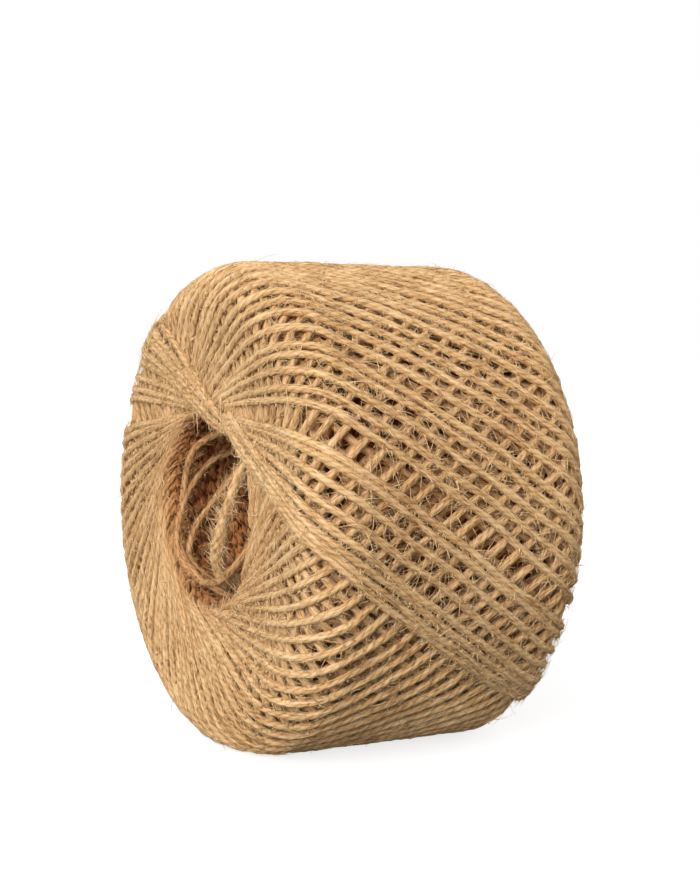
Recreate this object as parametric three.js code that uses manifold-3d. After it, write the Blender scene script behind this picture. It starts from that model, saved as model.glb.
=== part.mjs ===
import * as THREE from 'three';
import { mergeVertices } from 'three/addons/utils/BufferGeometryUtils.js';
import Module from 'manifold-3d';

// Roll of twine, lying on its barrel with the winding axis along X.
// Every length is in mm, every angle in radians unless the name says otherwise.

// Section of the wound ball, symmetric about the middle of its width.
const BALL_RADIUS = 48;
const HALF_WIDTH = 30.2;
const SHOULDER_RADIUS = 10;
const BORE_RADIUS = 17.5;
const RIM_RADIUS = 3;
const FLAT_DEPTH = 1.7;

// Winding: each turn touches a circle about the hole on one face, crosses the barrel
// aslant, touches the circle on the other face and comes back round.
const CHORD_RADIUS = 19;
const TURNS_PER_CYCLE = 70;
const SHOULDER_EXPONENT = 3.5;
const LAST_TURN_DEG = 117;

// Raised main twists: each stands for a few neighbouring turns.
const LAYS = 28;
const LAY_HEIGHT = 2.6;
const UNDER_SHARE = 0.5;
const BAND_HALF_WIDTH = 4.6;
const BAND_HEIGHT = 1.2;
const FACE_FADE = 12;

// Loose inner end that leans across the mouth of the hole.
const END_DIAMETER = 2.5;
const END_SIDES = 8;
const END_STEPS = 22;
const END_ROUTE = [
  { x: -12.5, y: -8.2, z: 13.4 },
  { x: -18.0, y: -9.0, z: 12.9 },
  { x: -23.2, y: -9.8, z: 11.2 },
  { x: -26.6, y: -9.6, z: 7.2 },
  { x: -28.0, y: -8.0, z: 1.6 },
  { x: -28.2, y: -5.2, z: -3.8 },
  { x: -27.2, y: -1.6, z: -8.8 },
  { x: -24.6, y: 2.0, z: -12.6 },
  { x: -20.4, y: 4.4, z: -14.7 },
  { x: -15.6, y: 5.2, z: -15.0 },
];

// Mesh density.
const COLUMNS = 112;
const STATIONS = { bore: 2, rim: 3, face: 6, shoulder: 7, barrel: 14 };
const LAW_STEPS = 400;

const TWINE_COLOUR = 0xc9a26c;
const END_COLOUR = 0xb98f5a;
const TWINE_ROUGHNESS = 0.95;

const CENTRE_HEIGHT = BALL_RADIUS - FLAT_DEPTH;
const TURN = 2 * Math.PI;
const QUARTER = Math.PI / 2;

// Point on a round corner: the angle runs from along the axis to straight out.
function corner(centreX, centreR, radius, angle) {
  return { x: centreX + radius * Math.cos(angle), r: centreR + radius * Math.sin(angle) };
}

// Half section from the middle of the barrel to the middle of the bore, on the +X side.
function halfSection() {
  const points = [];
  const barrelEnd = HALF_WIDTH - SHOULDER_RADIUS;
  const halfBarrel = STATIONS.barrel / 2;
  for (let i = 0; i < halfBarrel; i += 1) {
    points.push({ x: (barrelEnd * i) / halfBarrel, r: BALL_RADIUS });
  }
  for (let i = 0; i < STATIONS.shoulder; i += 1) {
    const angle = QUARTER * (1 - i / STATIONS.shoulder);
    points.push(corner(barrelEnd, BALL_RADIUS - SHOULDER_RADIUS, SHOULDER_RADIUS, angle));
  }
  const faceTop = BALL_RADIUS - SHOULDER_RADIUS;
  const faceEnd = BORE_RADIUS + RIM_RADIUS;
  for (let i = 0; i < STATIONS.face; i += 1) {
    points.push({ x: HALF_WIDTH, r: faceTop + ((faceEnd - faceTop) * i) / STATIONS.face });
  }
  for (let i = 0; i < STATIONS.rim; i += 1) {
    const angle = (-QUARTER * i) / STATIONS.rim;
    points.push(corner(HALF_WIDTH - RIM_RADIUS, faceEnd, RIM_RADIUS, angle));
  }
  const boreEnd = HALF_WIDTH - RIM_RADIUS;
  for (let i = 0; i <= STATIONS.bore; i += 1) {
    points.push({ x: boreEnd * (1 - i / STATIONS.bore), r: BORE_RADIUS });
  }
  return points;
}

// Angle that a turn has swept about the axis on its way from the circle on one face to
// the middle of the barrel, as a table against the distance along the section.
function sweepTable(tilt) {
  const reach = BALL_RADIUS * Math.sin(tilt) - CHORD_RADIUS;
  const faceLength = BALL_RADIUS - SHOULDER_RADIUS - CHORD_RADIUS;
  const arcLength = QUARTER * SHOULDER_RADIUS;
  const total = faceLength + arcLength + HALF_WIDTH - SHOULDER_RADIUS;
  const table = [{ s: 0, sweep: 0 }];
  let sweep = 0;
  for (let i = 0; i < LAW_STEPS; i += 1) {
    const middle = (total * (i + 0.5)) / LAW_STEPS;
    const radius = radiusAt(middle, faceLength, arcLength);
    const share = (radius - CHORD_RADIUS) / (BALL_RADIUS - CHORD_RADIUS);
    const arm = CHORD_RADIUS + reach * share ** SHOULDER_EXPONENT;
    const step = total / LAW_STEPS;
    sweep += (arm / radius / Math.sqrt(radius * radius - arm * arm)) * step;
    table.push({ s: step * (i + 1), sweep });
  }
  return { table, sweep, total, faceLength, arcLength };
}

// Radius of the section at a distance from the circle that the turns touch.
function radiusAt(s, faceLength, arcLength) {
  if (s < faceLength) {
    return CHORD_RADIUS + s;
  }
  if (s < faceLength + arcLength) {
    const angle = (s - faceLength) / SHOULDER_RADIUS;
    return BALL_RADIUS - SHOULDER_RADIUS + SHOULDER_RADIUS * Math.sin(angle);
  }
  return BALL_RADIUS;
}

// Slant on the barrel that makes one whole turn end a pitch further round.
function solveTilt() {
  const wanted = QUARTER + QUARTER / TURNS_PER_CYCLE;
  let low = 0.4;
  let high = 0.9;
  for (let i = 0; i < 40; i += 1) {
    const middle = (low + high) / 2;
    if (sweepTable(middle).sweep < wanted) {
      low = middle;
    } else {
      high = middle;
    }
  }
  return low;
}

const TILT = solveTilt();
const LAW = sweepTable(TILT);

// Distance along the section from the circle on the left face to a point of the section.
function distanceAlong(point) {
  const faceTop = BALL_RADIUS - SHOULDER_RADIUS;
  const barrelEnd = HALF_WIDTH - SHOULDER_RADIUS;
  let s = Math.max(point.r - CHORD_RADIUS, 0);
  if (Math.abs(point.x) < barrelEnd) {
    s = LAW.total - Math.abs(point.x);
  } else if (point.r > faceTop) {
    const angle = Math.atan2(point.r - faceTop, Math.abs(point.x) - barrelEnd);
    s = LAW.faceLength + SHOULDER_RADIUS * angle;
  }
  return point.x < 0 ? s : 2 * LAW.total - s;
}

// Sweep at a distance along the whole section, from the left face to the right one.
function sweepAt(s) {
  const near = s <= LAW.total ? s : 2 * LAW.total - s;
  const place = (near / LAW.total) * LAW_STEPS;
  const index = Math.min(Math.floor(place), LAW_STEPS - 1);
  const a = LAW.table[index].sweep;
  const b = LAW.table[index + 1].sweep;
  const sweep = a + (b - a) * (place - index);
  return s <= LAW.total ? sweep : 2 * LAW.sweep - sweep;
}

function wrap(angle) {
  return ((angle % TURN) + TURN) % TURN;
}

// Round-topped ridge across the lays, from 0 in a groove to 1 along a top.
function ridge(angle) {
  return Math.abs(Math.cos((LAYS * angle) / 2));
}

// How far back round the ball the falling and the rising turn at a point were laid.
function ages(point, theta) {
  const sweep = sweepAt(distanceAlong(point));
  const last = THREE.MathUtils.degToRad(LAST_TURN_DEG);
  return { falling: wrap(last - (theta - sweep)), rising: wrap(last - (theta + sweep)) };
}

// The turn that was laid later lies on top.
function fallingOnTop(point, theta) {
  const { falling, rising } = ages(point, theta);
  return falling < rising;
}

// Height of the relief over the plain section at a point of the outer skin.
function relief(point, theta) {
  const fade = Math.min(Math.max((point.r - CHORD_RADIUS) / FACE_FADE, 0), 1);
  const { falling, rising } = ages(point, theta);
  const over = ridge(Math.min(falling, rising));
  const under = ridge(Math.max(falling, rising));
  const lays = LAY_HEIGHT * ((over + UNDER_SHARE * under) / (1 + UNDER_SHARE) - 1);
  const nearest = Math.min(falling, rising, TURN - falling, TURN - rising);
  const off = (nearest * point.r * Math.cos(TILT)) / BAND_HALF_WIDTH;
  const band = Math.sqrt(Math.max(1 - off * off, 0));
  return fade * (lays * (1 - band) + BAND_HEIGHT * band);
}

// Closed ring mesh: the section swept round the axis, with the relief raised on its skin.
function ringGeometry() {
  const right = halfSection();
  const left = right.slice(1, -1).reverse().map((point) => ({ x: -point.x, r: point.r }));
  const section = right.concat(left);
  const rows = section.length;
  const positions = [];
  section.forEach((point, row) => {
    const before = section[(row + rows - 1) % rows];
    const after = section[(row + 1) % rows];
    const along = new THREE.Vector2(after.x - before.x, after.r - before.r).normalize();
    for (let column = 0; column < COLUMNS; column += 1) {
      const theta = (TURN * column) / COLUMNS;
      const height = relief(point, theta);
      const x = point.x - along.y * height;
      const r = point.r + along.x * height;
      positions.push(x, r * Math.cos(theta), CENTRE_HEIGHT + r * Math.sin(theta));
    }
  });
  const index = [];
  for (let row = 0; row < rows; row += 1) {
    for (let column = 0; column < COLUMNS; column += 1) {
      const next = (column + 1) % COLUMNS;
      const a = row * COLUMNS + column;
      const b = row * COLUMNS + next;
      const c = ((row + 1) % rows) * COLUMNS + next;
      const d = ((row + 1) % rows) * COLUMNS + column;
      if (fallingOnTop(section[row], (TURN * column) / COLUMNS)) {
        index.push(a, b, c, a, c, d);
      } else {
        index.push(a, b, d, b, c, d);
      }
    }
  }
  const geometry = new THREE.BufferGeometry();
  geometry.setAttribute('position', new THREE.Float32BufferAttribute(positions, 3));
  geometry.setIndex(index);
  return geometry;
}

const wasm = await Module();
wasm.setup();

function toManifold(source) {
  const plain = source.clone();
  plain.deleteAttribute('normal');
  plain.deleteAttribute('uv');
  const merged = mergeVertices(plain, 1e-4);
  return new wasm.Manifold(new wasm.Mesh({
    numProp: 3,
    vertProperties: new Float32Array(merged.attributes.position.array),
    triVerts: new Uint32Array(merged.index.array),
  }));
}

function fromManifold(solid) {
  const mesh = solid.getMesh();
  const geometry = new THREE.BufferGeometry();
  geometry.setAttribute('position', new THREE.BufferAttribute(new Float32Array(mesh.vertProperties), 3));
  geometry.setIndex(new THREE.BufferAttribute(new Uint32Array(mesh.triVerts), 1));
  geometry.computeVertexNormals();
  return geometry;
}

// The ball with its bottom pressed flat where it rests.
function woundBall() {
  const side = 4 * BALL_RADIUS;
  const floor = new THREE.BoxGeometry(side, side, side);
  floor.translate(0, 0, -side / 2);
  const ball = toManifold(ringGeometry()).subtract(toManifold(floor));
  return fromManifold(ball);
}

// Round cord along the hand-chosen route of the loose end.
function innerEnd() {
  const route = END_ROUTE.map((p) => new THREE.Vector3(p.x, p.y, p.z + CENTRE_HEIGHT));
  const path = new THREE.CatmullRomCurve3(route, false, 'centripetal');
  const outline = new THREE.Shape();
  for (let i = 0; i < END_SIDES; i += 1) {
    const angle = (TURN * i) / END_SIDES;
    const u = (END_DIAMETER / 2) * Math.cos(angle);
    const v = (END_DIAMETER / 2) * Math.sin(angle);
    if (i === 0) {
      outline.moveTo(u, v);
    } else {
      outline.lineTo(u, v);
    }
  }
  outline.closePath();
  return new THREE.ExtrudeGeometry(outline, { steps: END_STEPS, extrudePath: path, bevelEnabled: false });
}

function named(geometry, name, colour) {
  const material = new THREE.MeshStandardMaterial({
    color: colour,
    roughness: TWINE_ROUGHNESS,
    metalness: 0,
  });
  const mesh = new THREE.Mesh(geometry, material);
  mesh.name = name;
  return mesh;
}

const part = new THREE.Group();
part.name = 'roll_of_twine';
part.add(named(woundBall(), 'wound_ball', TWINE_COLOUR));
part.add(named(innerEnd(), 'inner_end', END_COLOUR));

export default part;
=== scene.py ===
import logging
import math
from dataclasses import dataclass, field
from enum import Enum

import bmesh
import bpy
import numpy as np
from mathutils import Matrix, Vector


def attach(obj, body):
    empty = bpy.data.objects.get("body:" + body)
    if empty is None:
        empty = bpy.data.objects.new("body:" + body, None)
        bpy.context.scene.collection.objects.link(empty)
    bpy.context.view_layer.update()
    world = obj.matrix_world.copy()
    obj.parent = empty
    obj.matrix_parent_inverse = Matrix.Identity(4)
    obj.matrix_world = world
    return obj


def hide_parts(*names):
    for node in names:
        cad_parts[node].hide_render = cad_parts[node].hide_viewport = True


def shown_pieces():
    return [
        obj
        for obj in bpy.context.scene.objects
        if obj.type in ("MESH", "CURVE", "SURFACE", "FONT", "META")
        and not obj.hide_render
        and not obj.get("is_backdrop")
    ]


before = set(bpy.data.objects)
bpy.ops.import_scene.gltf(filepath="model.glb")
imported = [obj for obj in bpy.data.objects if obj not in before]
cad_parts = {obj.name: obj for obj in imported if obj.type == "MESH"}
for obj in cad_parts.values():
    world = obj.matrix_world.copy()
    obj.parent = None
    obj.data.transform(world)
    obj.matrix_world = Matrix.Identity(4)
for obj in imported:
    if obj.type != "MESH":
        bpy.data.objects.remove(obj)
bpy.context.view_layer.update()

LOG = logging.getLogger("roll_of_twine")
BODY = "root"
TURN = 2 * math.pi
MM = 0.001
TINY = 1e-12
WHITE = (1.0, 1.0, 1.0, 1.0)
SHEEN_ROUGHNESS = 0.5

Colour = tuple[float, float, float, float]
Place = tuple[float, float, float]


def linear(red: float, green: float, blue: float) -> Colour:
    """Turn a display colour into the linear one that a shader takes, by the sRGB formula.

    Args:
        red: Red, from 0 to 255.
        green: Green, from 0 to 255.
        blue: Blue, from 0 to 255.

    Returns:
        The linear colour with an alpha of 1.
    """
    parts = [value / 255 for value in (red, green, blue)]
    bright = [p / 12.92 if p <= 0.04045 else ((p + 0.055) / 1.055) ** 2.4 for p in parts]
    return (bright[0], bright[1], bright[2], 1.0)


def eased(value: np.ndarray) -> np.ndarray:
    """Ease a share from 0 to 1 with flat ends."""
    share = np.clip(value, 0.0, 1.0)
    return share * share * (3 - 2 * share)


def unit(vectors: np.ndarray) -> np.ndarray:
    """Scale each row to a length of 1."""
    return vectors / np.maximum(np.linalg.norm(vectors, axis=-1, keepdims=True), TINY)


def mirrored(half: np.ndarray, sign: float = 1.0) -> np.ndarray:
    """Run values up to the middle and back again, the way back times a sign."""
    return np.concatenate([half, sign * half[-2::-1]])


def resampled(at: np.ndarray, lengths: np.ndarray, rows: np.ndarray) -> np.ndarray:
    """Read each column of a table of rows at other distances along."""
    return np.stack([np.interp(at, lengths, column) for column in rows.T], 1)


def mesh_of(name: str, points: np.ndarray, tables: list[np.ndarray]) -> bpy.types.Mesh:
    """Make a mesh of arrays.

    Args:
        name: Name of the mesh.
        points: One row for each point.
        tables: Tables of faces, one row for each face, a table for each number of corners.

    Returns:
        The new mesh.
    """
    mesh = bpy.data.meshes.new(name)
    mesh.vertices.add(len(points))
    mesh.vertices.foreach_set("co", points.astype(np.float32).ravel())
    corners = np.concatenate([table.ravel() for table in tables])
    totals = np.concatenate([np.full(len(table), table.shape[1]) for table in tables])
    starts = np.concatenate([[0], np.cumsum(totals)[:-1]])
    mesh.loops.add(len(corners))
    mesh.loops.foreach_set("vertex_index", corners.astype(np.int32))
    mesh.polygons.add(len(totals))
    mesh.polygons.foreach_set("loop_start", starts.astype(np.int32))
    mesh.update(calc_edges=True)
    return mesh


def dressed(mesh: bpy.types.Mesh, finish: bpy.types.Material) -> bpy.types.Object:
    """Put a mesh on an object of its name at the origin, in its finish."""
    mesh.materials.append(finish)
    piece = bpy.data.objects.new(mesh.name, mesh)
    bpy.context.scene.collection.objects.link(piece)
    return piece


class Way(Enum):
    """The way in which a passage crosses the roll, as the sign of its run along X."""

    OUTWARD = 1
    BACK = -1


@dataclass(frozen=True)
class WoundForm:
    """Sizes of the wound ball: a barrel with round shoulders, flat faces and a hole.

    The axis lies along X and the roll rests on its barrel. Lengths are in metres.
    """

    ball_radius: float = 0.048
    half_width: float = 0.0302
    shoulder_radius: float = 0.010
    rim_radius: float = 0.003
    bore_radius: float = 0.0175
    flat_depth: float = 0.0017
    chord_radius: float = 0.019
    press_softness: float = 0.0003

    @property
    def centre_height(self) -> float:
        """Height of the winding axis above the surface that the roll rests on."""
        return self.ball_radius - self.flat_depth

    @property
    def face_top(self) -> float:
        """Radius at which the flat face turns into the shoulder."""
        return self.ball_radius - self.shoulder_radius

    @property
    def barrel_end(self) -> float:
        """Half length of the straight barrel."""
        return self.half_width - self.shoulder_radius

    def face_x(self, radius: np.ndarray) -> np.ndarray:
        """Give the face's distance from the middle of the width.

        Args:
            radius: Distances from the axis.

        Returns:
            The distances along X, drawn in round the rim of the hole.
        """
        below = np.clip(self.bore_radius + self.rim_radius - radius, 0.0, self.rim_radius)
        return self.half_width - self.rim_radius + np.sqrt(self.rim_radius**2 - below**2)

    def placed(self, points_mm: tuple[Place, ...]) -> np.ndarray:
        """Turn points in millimetres from the middle of the ball into places in metres."""
        return np.array(points_mm) * MM + np.array([0, 0, self.centre_height])

    def lifted(self, points: np.ndarray, clearance: float) -> np.ndarray:
        """Press the lowest points up on the resting surface.

        Args:
            points: Points with the axis at its height above the surface.
            clearance: Least height of a point.

        Returns:
            The points, softly lifted where they lay lower.
        """
        over = (points[:, 2] - clearance) / self.press_softness
        points[:, 2] = clearance + self.press_softness * np.logaddexp(0.0, over)
        return points


@dataclass(frozen=True)
class Passage:
    """Samples of one passage from the hole on one face to the hole on the other.

    It leaves the face on the +X side. Each field holds one value for each sample.
    """

    x: np.ndarray
    radius: np.ndarray
    normal_x: np.ndarray
    normal_radius: np.ndarray
    sweep: np.ndarray
    from_touch: np.ndarray
    leaving: np.ndarray

    @property
    def total(self) -> float:
        """Angle about the axis that a whole passage sweeps."""
        return float(self.sweep[-1])


@dataclass(frozen=True)
class WindingLaw:
    """How a turn runs over the form: it touches a circle about the hole on each face.

    The arm is the distance of the turn's line from the axis, which grows from the
    circle's radius on the face to the slant that the turn has on the barrel.
    """

    form: WoundForm
    turns_per_cycle: float = 70
    shoulder_exponent: float = 3.5
    face_samples: int = 160
    shoulder_samples: int = 60
    barrel_samples: int = 90
    least_slant: float = 0.4
    most_slant: float = 0.9
    halvings: int = 40

    def half(self, slant: float) -> Passage:
        """Work out the passage from a face to the middle of the barrel.

        Args:
            slant: Angle between the turn and the axis on the barrel.

        Returns:
            The samples up to the middle of the barrel.
        """
        form = self.form
        touch_end = math.sqrt(form.face_top**2 - form.chord_radius**2)
        touch = np.linspace(0.0, touch_end, self.face_samples)
        face_radius = np.hypot(form.chord_radius, touch)
        corner = np.linspace(math.pi / 2, 0.0, self.shoulder_samples + 1)[1:]
        run = np.linspace(form.barrel_end, 0.0, self.barrel_samples + 1)[1:]
        shoulder_x = form.barrel_end + form.shoulder_radius * np.sin(corner)
        shoulder_r = form.face_top + form.shoulder_radius * np.cos(corner)
        x = np.concatenate([form.face_x(face_radius), shoulder_x, run])
        radius = np.concatenate([face_radius, shoulder_r, np.full_like(run, form.ball_radius)])
        normal_x = np.concatenate([np.ones_like(touch), np.sin(corner), np.zeros_like(run)])
        normal_r = np.concatenate([np.zeros_like(touch), np.cos(corner), np.ones_like(run)])
        reach = form.ball_radius * math.sin(slant) - form.chord_radius
        middle = (radius[1:] + radius[:-1]) / 2
        share = (middle - form.chord_radius) / (form.ball_radius - form.chord_radius)
        arm = form.chord_radius + reach * share**self.shoulder_exponent
        turning = arm / middle / np.sqrt(middle**2 - arm**2)
        steps = turning * np.hypot(np.diff(x), np.diff(radius))
        middle_touch = (touch[1:] + touch[:-1]) / 2
        on_face = len(middle_touch)
        rise = middle_touch / np.hypot(form.chord_radius, middle_touch) * np.diff(touch)
        steps[:on_face] = turning[:on_face] * rise
        sweep = np.concatenate([[0.0], np.cumsum(steps)])
        from_touch = np.sqrt(np.maximum(radius**2 - form.chord_radius**2, 0.0))
        return Passage(x, radius, normal_x, normal_r, sweep, from_touch, np.ones_like(x, bool))

    def passage(self) -> Passage:
        """Find the slant that brings a turn round a pitch further, and its whole passage.

        Returns:
            The samples from one face to the other.
        """
        wanted = math.pi / 2 * (1 + 1 / self.turns_per_cycle)
        low = self.least_slant
        high = self.most_slant
        for _ in range(self.halvings):
            slant = (low + high) / 2
            if self.half(slant).total < wanted:
                low = slant
            else:
                high = slant
        near = self.half(low)
        return Passage(
            x=mirrored(near.x, -1.0),
            radius=mirrored(near.radius),
            normal_x=mirrored(near.normal_x, -1.0),
            normal_radius=mirrored(near.normal_radius),
            sweep=np.concatenate([near.sweep, 2 * near.total - near.sweep[-2::-1]]),
            from_touch=mirrored(near.from_touch),
            leaving=np.concatenate([near.leaving, ~near.leaving[-2::-1]]),
        )


@dataclass(frozen=True)
class TwineFinish:
    """Jute twine: warm straw fibres, darker grooves between the plies, a dry sheen.

    The fibres are a noise wound round the plies. Deep turns are darkened and tinted: painted
    shade for the light that reaches them after it has passed over other turns.
    """

    name: str = "jute_twine"
    light: Colour = linear(236, 203, 157)
    middle: Colour = linear(205, 164, 113)
    dark: Colour = linear(133, 85, 43)
    stops: tuple[float, float, float] = (0.54, 0.76, 0.98)
    # Painted shade: deep turns are multiplied towards this darker, warmer colour.
    deep: Colour = (0.60, 0.30, 0.11, 1.0)
    painted_shade_full_at: float = 0.0082
    painted_shade_power: float = 1.1
    roughness: float = 0.85
    sheen: float = 0.25
    specular: float = 0.2
    plies: int = 3
    ply_pitch: float = 0.0060
    fibre_radius: float = 0.0007
    fibre_run: float = 0.09
    fibre_height: float = 0.8
    patch_run: float = 0.25
    patch_share: float = 0.30
    region_share: float = 0.30
    groove_sharpness: float = 3.0
    groove_shade: float = 0.096
    groove_height: float = 0.4
    bump_depth: float = 0.00014

    def material(self) -> bpy.types.Material:
        """Make the node material, on the piece's own UV map and its depth attribute.

        Returns:
            The material.
        """
        shop = NodeShop(self.name)
        u, v = shop.split_uv()
        turned = shop.math("SUBTRACT", u, shop.math("DIVIDE", v, self.ply_pitch))
        angle = shop.math("MULTIPLY", turned, TURN)
        fibre_at = shop.wound(angle, self.fibre_radius, v, self.fibre_run)
        fibre = shop.noise(fibre_at, scale=3600, detail=3, roughness=0.7)
        patch_at = shop.wound(angle, self.fibre_radius, v, self.patch_run)
        patch = shop.noise(patch_at, scale=900, detail=2, roughness=0.5)
        region = shop.noise(shop.object_coordinates(), scale=45, detail=2, roughness=0.5)
        wave = shop.math("COSINE", shop.math("MULTIPLY", u, TURN * self.plies))
        groove = shop.math("MULTIPLY_ADD", wave, 0.5, 0.5)
        groove = shop.math("POWER", groove, self.groove_sharpness)
        tone = shop.math("MULTIPLY_ADD", patch, self.patch_share, fibre)
        tone = shop.math("MULTIPLY_ADD", region, self.region_share, tone)
        # Painted shade: the tone is darkened in the grooves between the plies.
        tone = shop.math("MULTIPLY_ADD", groove, -self.groove_shade, tone)
        colour = shop.ramp(tone, list(zip(self.stops, (self.dark, self.middle, self.light))))
        # Painted shade: the deeper the depth attribute says a point lies, the more its colour is
        # multiplied by the deep colour.
        inside = shop.math("DIVIDE", shop.attribute("depth"), self.painted_shade_full_at)
        inside = shop.clamped(shop.math("POWER", inside, self.painted_shade_power))
        colour = shop.mix(inside, colour, shop.mix(1.0, colour, self.deep, "MULTIPLY"))
        height = shop.math("MULTIPLY", groove, -self.groove_height)
        height = shop.math("MULTIPLY_ADD", fibre, self.fibre_height, height)
        bump = shop.bump(height, self.bump_depth)
        shop.principled(colour, bump, self.roughness, self.sheen, self.specular)
        return shop.done


@dataclass(frozen=True)
class TwoToneFinish:
    """A dry fibre of two tones, mixed by a fine noise on Object coordinates."""

    name: str
    light: Colour
    dark: Colour
    light_at: float = 0.7
    dark_at: float = 0.3
    grain: float = 700
    detail: float = 1
    grain_roughness: float = 0.5
    bump_depth: float = 0.0
    roughness: float = 0.7
    sheen: float = 0.1
    specular: float = 0.15

    def material(self) -> bpy.types.Material:
        """Make the node material.

        Returns:
            The material.
        """
        shop = NodeShop(self.name)
        tone = shop.noise(shop.object_coordinates(), self.grain, self.detail, self.grain_roughness)
        colour = shop.ramp(tone, [(self.dark_at, self.dark), (self.light_at, self.light)])
        normal = shop.bump(tone, self.bump_depth) if self.bump_depth > 0 else None
        shop.principled(colour, normal, self.roughness, self.sheen, self.specular)
        return shop.done


class NodeShop:
    """Builds one node material step by step."""

    def __init__(self, name: str) -> None:
        """Start an empty material of that name."""
        self.done = bpy.data.materials.new(name)
        self.done.use_nodes = True
        self.nodes = self.done.node_tree.nodes
        self.links = self.done.node_tree.links
        self.nodes.clear()

    def put(self, socket: bpy.types.NodeSocket, value: object) -> None:
        """Link an output to a socket, or set the socket's own value."""
        if isinstance(value, bpy.types.NodeSocket):
            self.links.new(value, socket)
        else:
            socket.default_value = value

    def math(self, operation: str, first: object, second: object = 0.0, third: object = 0.0) -> object:
        """Add a Math node.

        Args:
            operation: The node's operation.
            first: First number or output.
            second: Second number or output.
            third: Third number or output.

        Returns:
            The node's output.
        """
        node = self.nodes.new("ShaderNodeMath")
        node.operation = operation
        for socket, value in zip(node.inputs, (first, second, third)):
            self.put(socket, value)
        return node.outputs[0]

    def clamped(self, value: object) -> object:
        """Hold a number between 0 and 1."""
        node = self.nodes.new("ShaderNodeClamp")
        self.put(node.inputs["Value"], value)
        return node.outputs[0]

    def split_uv(self) -> tuple[object, object]:
        """Give the two parts of the piece's own UV map."""
        uv = self.nodes.new("ShaderNodeUVMap")
        uv.uv_map = "UVMap"
        parts = self.nodes.new("ShaderNodeSeparateXYZ")
        self.links.new(uv.outputs["UV"], parts.inputs[0])
        return parts.outputs["X"], parts.outputs["Y"]

    def vector(self, x: object, y: object, z: object) -> object:
        """Join three numbers into a vector."""
        node = self.nodes.new("ShaderNodeCombineXYZ")
        for socket, value in zip(node.inputs, (x, y, z)):
            self.put(socket, value)
        return node.outputs[0]

    def wound(self, angle: object, radius: float, along: object, run: float) -> object:
        """Give a place on a cylinder, so that a noise read there is wound with the plies.

        Args:
            angle: Angle round the cylinder.
            radius: Its radius.
            along: Distance along the twine.
            run: Share of that distance that counts, under 1 for drawn-out fibres.

        Returns:
            The vector.
        """
        return self.vector(
            self.math("MULTIPLY", self.math("COSINE", angle), radius),
            self.math("MULTIPLY", self.math("SINE", angle), radius),
            self.math("MULTIPLY", along, run),
        )

    def object_coordinates(self) -> object:
        """Give the Object coordinates."""
        return self.nodes.new("ShaderNodeTexCoord").outputs["Object"]

    def attribute(self, name: str) -> object:
        """Give a number that the mesh holds at its points."""
        node = self.nodes.new("ShaderNodeAttribute")
        node.attribute_name = name
        return node.outputs["Fac"]

    def noise(self, place: object, scale: float, detail: float, roughness: float) -> object:
        """Add a Noise texture.

        Args:
            place: The vector that it reads.
            scale: Repeats to the metre.
            detail: Number of finer octaves.
            roughness: Strength of the finer octaves.

        Returns:
            The noise as a number.
        """
        node = self.nodes.new("ShaderNodeTexNoise")
        self.put(node.inputs["Vector"], place)
        node.inputs["Scale"].default_value = scale
        node.inputs["Detail"].default_value = detail
        node.inputs["Roughness"].default_value = roughness
        return node.outputs["Fac"]

    def ramp(self, value: object, stops: list[tuple[float, Colour]]) -> object:
        """Add a Color Ramp.

        Args:
            value: The number that it reads.
            stops: Positions and their colours.

        Returns:
            The colour.
        """
        node = self.nodes.new("ShaderNodeValToRGB")
        band = node.color_ramp
        while len(band.elements) < len(stops):
            band.elements.new(0.5)
        for element, (position, colour) in zip(band.elements, stops):
            element.position = position
            element.color = colour
        self.put(node.inputs[0], value)
        return node.outputs["Color"]

    def mix(self, share: object, first: object, second: object, blend: str = "MIX") -> object:
        """Mix two colours by a share.

        Args:
            share: Share of the second colour, or how far it is blended in.
            first: First colour.
            second: Second colour.
            blend: The node's blend type.

        Returns:
            The colour.
        """
        node = self.nodes.new("ShaderNodeMix")
        node.data_type = "RGBA"
        node.blend_type = blend
        self.put(node.inputs["Factor"], share)
        self.put(node.inputs["A"], first)
        self.put(node.inputs["B"], second)
        return node.outputs["Result"]

    def bump(self, height: object, depth: float) -> object:
        """Turn a height into a bumped normal."""
        node = self.nodes.new("ShaderNodeBump")
        node.inputs["Distance"].default_value = depth
        self.put(node.inputs["Height"], height)
        return node.outputs["Normal"]

    def principled(
        self, colour: object, normal: object, roughness: float, sheen: float, specular: float,
        glow: float = 0.0,
    ) -> None:
        """Finish the material with a Principled shader.

        Args:
            colour: Base colour.
            normal: Bumped normal, or None.
            roughness: Roughness.
            sheen: Sheen weight.
            specular: Specular level.
            glow: Strength of the light that it gives off.
        """
        shader = self.nodes.new("ShaderNodeBsdfPrincipled")
        output = self.nodes.new("ShaderNodeOutputMaterial")
        self.put(shader.inputs["Base Color"], colour)
        if normal is not None:
            self.put(shader.inputs["Normal"], normal)
        shader.inputs["Roughness"].default_value = roughness
        shader.inputs["Specular IOR Level"].default_value = specular
        shader.inputs["Sheen Weight"].default_value = sheen
        shader.inputs["Sheen Roughness"].default_value = SHEEN_ROUGHNESS
        shader.inputs["Sheen Tint"].default_value = linear(255, 226, 180)
        shader.inputs["Emission Strength"].default_value = glow
        self.links.new(shader.outputs[0], output.inputs["Surface"])


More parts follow.
